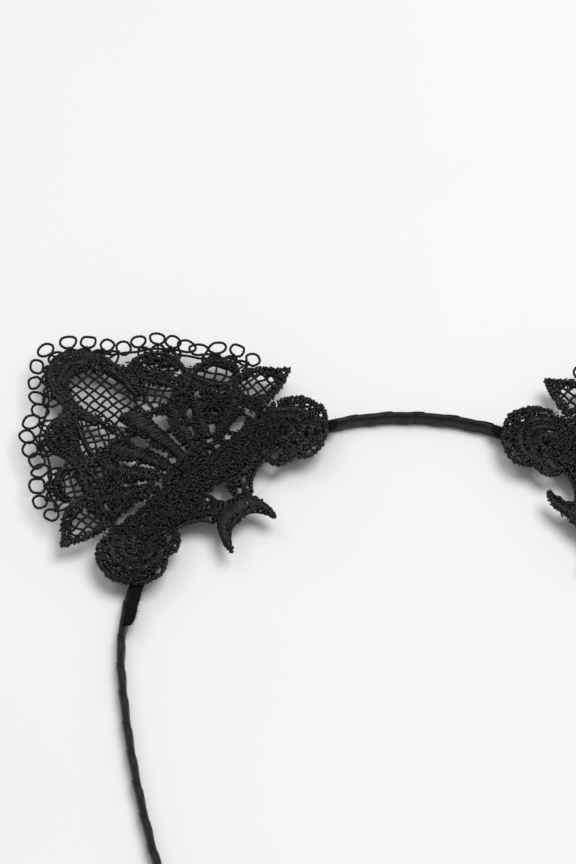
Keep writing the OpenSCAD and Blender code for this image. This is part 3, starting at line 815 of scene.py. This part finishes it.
# ---- Tack stitches ----
# Six short stitches on each ear, which hold the lace feet down on the felt. Each is sewn by
# hand with two strands of black sewing thread.
tack_across = (-32, -28.5, -25, 25, 28.5, 32)
tack_length = 3
band_crest = (3.7, 2)
sewing_rayon = rayon_thread("black_sewing_thread", (0.002, 0.002, 0.003), (0.007, 0.007, 0.009),
                            0.4, 0.2)
for side, ripple, seed in sides_of_head:
    work, draw = [], np.random.default_rng(seed + 7)
    for u in tack_across:
        y = math.sqrt(mid_r ** 2 - (u - band_crest[0]) ** 2) - mid_r + band_crest[1]
        k = np.linspace(0, 1, 14)
        for strand in (-0.14, 0.14):
            arch = 1.45 + 0.5 * np.sin(math.pi * k) ** 0.7
            path = np.stack([u + strand + 0.6 * k + draw.uniform(-0.1, 0.1),
                             y + tack_length * (k - 0.5), arch], -1)
            lay_thread(work, path, (1, 0, 0), 0.28, ply=0.5)
    sew_on(work, side, ripple, side + "_tacks", sewing_rayon, side + "_tack_stitches",
           bends=False)

# ---- Net ground ----
# Thin crossed threads that fill the open windows of the ear. They are bare black rayon, laid
# under and over each other as the lace is stitched.
net_rayon = rayon_thread("black_rayon_net", (0.0015, 0.0015, 0.002), (0.006, 0.006, 0.007), 0.38, 0.18)
net_mid = 0.55
net_thread = 0.64

def net_line(work, draw, ends, cell, first_over):
    a, b = np.array(ends, float)
    length = np.linalg.norm(b - a)
    k = np.linspace(0, 1, max(6, int(length / 0.42)))
    side_way = np.array([-(b - a)[1], (b - a)[0]]) / length
    sway = sum(draw.normal(0, 0.13) * np.sin(math.pi * n * k + draw.uniform(0, 6))
               for n in (1, 2, 3.3, 5.1))
    flat = a + (b - a) * k[:, None] + side_way * sway[:, None]
    z = net_mid + 0.17 * np.cos(math.pi * k * length / cell) * (1 if first_over else -1)
    thick = net_thread * (1 + 0.1 * np.sin(k * length * 2.1 + draw.uniform(0, 6)))
    lay_thread(work, np.column_stack([flat, z]), (0, 0, 1), thick)

def net_panel(work, draw, centre, radii, tilt, columns, rows, cell):
    """Threads across an oval window: columns run up it at these offsets, rows across it."""
    turn = math.radians(tilt)
    right = np.array([math.cos(turn), math.sin(turn)])
    up = np.array([-right[1], right[0]])
    for offsets, along_dir, off_dir, reach, off_reach in (
            (columns, up, right, radii[1], radii[0]), (rows, right, up, radii[0], radii[1])):
        for n, off in enumerate(offsets):
            share = min(0.98, abs(off) / off_reach)
            half = reach * math.sqrt(1 - share ** 2) + 0.8
            off = off + draw.normal(0, 0.1)
            middle = np.array(centre) + off_dir * off
            tip = draw.normal(0, 0.2, 2)
            net_line(work, draw, (middle - along_dir * half + off_dir * tip[0],
                                  middle + along_dir * half + off_dir * tip[1]), cell, n % 2 == 0)

def ear_net(work, draw):
    net_panel(work, draw, (0, 39.5), (7.2, 11.8), 0, np.arange(-3, 4) * 2.12,
              np.array((-9.2, -6.5, -4.2, -1.9, 0.3, 2.6, 4.8, 7.2)), 2.2)
    for hand in (1, -1):
        def panel(centre, radii, tilt, columns, rows, cell):
            net_panel(work, draw, (hand * centre[0], centre[1]), radii, hand * tilt, columns, rows, cell)
        panel((10.9, 31.2), (4.8, 7.6), 32, np.arange(-2, 3) * 2.0, np.arange(-3, 4) * 2.05, 2.0)
        panel((25, 24), (5.4, 5.4), 30, np.arange(-2, 3) * 2.15, np.arange(-2, 3) * 2.15, 2.15)
        panel((17.4, 21.8), (2.2, 4.6), 25, np.array((-1.1, 1.0)), np.arange(-2, 3) * 1.9, 1.9)
        panel((30.8, 13.9), (5.8, 4.2), -8, np.arange(-2, 3) * 2.1, np.array((-2.0, 0.1, 2.1)), 2.1)
        for angle in np.radians(np.arange(-25, 130, 19)):
            spoke = np.array([hand * math.cos(angle), math.sin(angle)])
            hub = np.array([hand * 14, 34.5])
            net_line(work, draw, (hub + spoke * 1.8, hub + spoke * 6.2), 2, True)
        arc = [(hand * (14 + 4 * math.cos(a)), 34.5 + 4 * math.sin(a))
               for a in np.radians(np.linspace(-30, 130, 9))]
        line, _ = smooth_line(arc, 0.42)
        lay_thread(work, np.column_stack([line, np.full(len(line), net_mid)]), (0, 0, 1), 0.55)

for side, ripple, seed in sides_of_head:
    work, draw = [], np.random.default_rng(seed + 11)
    ear_net(work, draw)
    sew_on(work, side, ripple, side + "_net", net_rayon, side + "_ear_net")

# ---- Scalloped cords ----
# The cords that outline the ear: a rounded peak, two scallops down each side, and the cords
# that run in from them towards the fan.
def scallop_arc(centre, radius, start, end):
    return [(centre[0] + radius * math.cos(a), centre[1] + radius * math.sin(a))
            for a in np.radians(np.linspace(start, end, 9))]

def ear_cords(work, draw):
    for path in (((-7.8, 48.5), (-5.4, 53.8), (0, 56.2), (5.4, 53.8), (7.8, 48.5)),
                 ((-6.6, 49.5), (-4.6, 53.2), (0, 54.9), (4.6, 53.2), (6.6, 49.5)),
                 ((-5.2, 50), (0, 53), (5.2, 50)), ((-4.5, 49.6), (0, 50.9), (4.5, 49.6))):
        wind_cord(work, draw, path, 2.1)
    for path, width in (
            (((8.4, 49), (8.9, 44), (8.7, 39), (7.6, 33.5)), 1.8),
            (((7.1, 49), (7.3, 43), (7.0, 38), (6.2, 33)), 2.0),
            (scallop_arc((14, 34.5), 7.1, 125, -30), 1.5),
            (scallop_arc((14, 34.5), 5.5, 122, -28), 1.2),
            (scallop_arc((23.5, 22.3), 6.3, 105, -15), 1.4),
            (scallop_arc((23.5, 22.3), 5.0, 100, -12), 1.1),
            (((10.2, 38.5), (12.6, 33.8), (14.6, 29), (15.4, 25.5)), 1.7),
            (((12.3, 39.3), (14.7, 34.6), (16.5, 29.8), (17.6, 26)), 1.2),
            (((20.2, 30.5), (20.6, 26.5), (22, 22.5), (24.2, 19.5)), 2.0),
            (((18.6, 29.5), (19, 25.5), (19.8, 22.5)), 1.3),
            (((15.4, 26), (15.6, 22), (15.8, 18)), 1.6),
            (((18.8, 27), (19.4, 22.5), (20.5, 18.5), (22.5, 15.5)), 1.5),
            (((12, 26.8), (16, 25.8), (21, 28.8)), 1.8),
            (((21.5, 19.8), (25.5, 18.9), (29.5, 20)), 1.8),
            (((22.5, 17.5), (24.8, 13), (25.5, 9.5)), 2.0),
            (((20.8, 16.5), (22.4, 13.5), (23, 11)), 1.2)):
        for half in both(*path):
            wind_cord(work, draw, half, width)

fan_half = [(26, 6.9), (24.5, 14), (16.2, 22.5), (9, 25.6), (5.2, 26.6), (3.6, 31.2)]
ear_half = [(26, 6.9), (26, 18.5), (30, 20.3), (30.3, 24.0), (29.2, 26.6), (26.6, 28.5), (23.4, 29),
            (20.8, 30.4), (21.2, 34.5), (20.4, 37.4), (18.2, 40.2), (15.6, 41.7), (12.5, 42.2),
            (9.3, 43.6), (8.3, 47.5), (6.6, 51.4), (3.8, 55.2), (0, 57.1)]

def ear_ground(work, draw):
    guides = [((-8.2, 40), (-8.2, 48.5), (0, 56.9), (8.2, 48.5), (8.2, 40))] \
        + both(*scallop_arc((14, 34.5), 7.3, 125, -30)) \
        + both(*scallop_arc((23.5, 22.3), 6.5, 105, -15)) \
        + both((11, 39), (16.3, 26)) + both((19.4, 30), (24.5, 14))
    outline = ear_half + mirrored(ear_half[:-1]) \
        + [(-u, y) for u, y in fan_half[1:]] + list(reversed(fan_half[1:]))
    fill_ground(work, draw, outline, openings, guides, layers=(0.5, 1.5), pits=2.8)

for side, ripple, seed in sides_of_head:
    work, draw = [], np.random.default_rng(seed + 13)
    ear_cords(work, draw)
    ear_ground(work, draw)
    sew_on(work, side, ripple, side + "_scallop_cords", cord_rayon, side + "_ear_scallops")

# ---- Fan ----
# Seven plump ribs of satin stitch that spread from the middle of the base. The thread is laid
# straight across each rib, and short ground stitches join the ribs to each other.
satin_rayon = rayon_thread("black_rayon_satin", (0.002, 0.002, 0.003), (0.008, 0.008, 0.010), 0.3, 0.28)

def fan_ribs(work, draw):
    for path, widths in (
            (((0.6, 9.8), (0.6, 17), (0.6, 24), (0.6, 30.3)), (2.8, 3.4, 4.6, 5.6, 4.8)),
            (((4.8, 10.5), (6.6, 17), (9.6, 25)), (2.4, 3.0, 3.6, 3.4)),
            (((9.2, 10.3), (12, 16), (15.2, 21.5)), (2.2, 3.0, 3.6, 3.2)),
            (((12.5, 9.8), (18, 12.2), (22.8, 14.6)), (2.0, 2.6, 3.0, 2.6))):
        halves = both(*path) if path[0][0] > 1 else [path]
        for half in halves:
            wind_cord(work, draw, half, widths, height=1.8, thread=0.52, slant=0.3, wobble=1.3)
    guides = [((0.6, 9.8), (0.6, 31))] + both((4.8, 10), (9.6, 26)) + both((9.2, 10), (16, 22)) \
        + both((12.5, 9), (24, 14)) + both((14, 7.5), (26, 7.5))
    satin_middle = slot_outline((0.6, 13), (0.6, 28.5), 4.4)
    outline = fan_half + mirrored(fan_half)
    fill_ground(work, draw, outline, openings, guides, layers=(0.5, 1.2), pits=2.6)
    fill_ground(work, draw, outline, openings + [satin_middle], guides, layers=(1.75,), pits=2.6)

for side, ripple, seed in sides_of_head:
    work, draw = [], np.random.default_rng(seed + 17)
    fan_ribs(work, draw)
    sew_on(work, side, ripple, side + "_fan_ribs", satin_rayon, side + "_ear_fan")

# ---- Side leaves ----
# A pointed leaf at each lower corner of the ear, filled with short ground stitches. Its rim is
# a cord wound with thicker thread, which looks like a row of beads.
leaf_beads = {"pitch": 1.0, "thread": 0.8, "steps": 8, "slant": 0.3, "wobble": 1.2}
leaf_half = [(25.3, 6.9), (31, 8), (34, 8.6), (37, 9.9), (39.8, 11.7), (38, 13.2), (36, 15.8),
             (33.5, 18.2), (31, 19.5), (25.5, 19.2)]

def side_leaves(work, draw):
    for path in both((25.8, 18.5), (30.8, 18.7), (34.2, 16.7), (37.2, 13.6), (39.6, 11.7)) \
            + both((39.2, 11.5), (36.5, 10.3), (33, 9.2), (29, 8.5)):
        wind_cord(work, draw, path, 1.4, **leaf_beads)
    guides = both((26, 17.8), (31, 18), (35, 15.8), (38.5, 12)) + both((38, 11.6), (33, 9.6), (26, 8.5))
    for outline in (leaf_half, mirrored(leaf_half)):
        fill_ground(work, draw, outline, openings, guides, layers=(0.5, 1.5), pits=2.8)

for side, ripple, seed in sides_of_head:
    work, draw = [], np.random.default_rng(seed + 19)
    side_leaves(work, draw)
    sew_on(work, side, ripple, side + "_leaf_cords", cord_rayon, side + "_ear_leaves")

# ---- Edge loops ----
# Small open loops of bare thread all round the edge, held by a thread that runs beside the
# scallops. They are the lace's finishing row.
loop_shape = ((2.1, -4.6), (1.2, -2.5), (-1.4, -1.1), (-2.0, 0.3), (-1.4, 1.5), (0, 1.9),
              (1.4, 1.5), (2.0, 0.3), (1.4, -1.1), (-1.2, -2.5), (-2.1, -4.6))
loop_hubs = (((0, 48.5), ((-0.3, 60.3), (5.4, 58.1), (9.2, 54.6), (12.0, 50.4), (14.3, 46.8))),
             ((14, 34.5), ((18.5, 45.4), (22.5, 42.7), (24.6, 39.1), (25.7, 35.7))),
             ((23.5, 22.3), ((27.5, 32.5), (31.1, 29.6), (34.1, 25.6), (34.9, 20.6))))

def edge_loops(work, draw):
    for hand in (1, -1):
        beside = []
        for hub, centres in loop_hubs:
            for centre in centres:
                out = unit(np.array([hand * (centre[0] - hub[0]), centre[1] - hub[1]], float))
                along_edge = np.array([out[1], -out[0]])
                middle = np.array([hand * centre[0], centre[1]])
                beside.append(middle - out * 2.9)
                if centre[0] < 0 and hand < 0:
                    continue
                size = draw.uniform(0.9, 1.15)
                lean = draw.normal(0, 0.12)
                points = [middle + along_edge * (t * size + lean * o)
                          + out * (o * (size if o > 0 else 1)) + draw.normal(0, 0.12, 2)
                          for t, o in loop_shape]
                line, run = smooth_line(points, 0.36)
                z = net_mid + 0.15 + 0.25 * np.linspace(-1, 1, len(line)) * draw.choice((-1, 1))
                thick = 0.68 * (1 + 0.12 * np.sin(run * 7 + draw.uniform(0, 6)))
                lay_thread(work, np.column_stack([line, z]), (0, 0, 1), thick)
                bar, _ = smooth_line([middle - out * 1.2, middle - out * 3.2 + along_edge * 0.3,
                                      middle - out * 5.6], 0.5)
                lay_thread(work, np.column_stack([bar, np.full(len(bar), net_mid)]), (0, 0, 1), 0.58)
        line, run = smooth_line(beside, 0.4)
        z = net_mid + 0.15 * np.sin(run * 1.1)
        lay_thread(work, np.column_stack([line, z]), (0, 0, 1), 0.66 * (1 + 0.12 * np.sin(run * 6)))

for side, ripple, seed in sides_of_head:
    work, draw = [], np.random.default_rng(seed + 23)
    edge_loops(work, draw)
    sew_on(work, side, ripple, side + "_edge_loops", net_rayon, side + "_ear_picots")
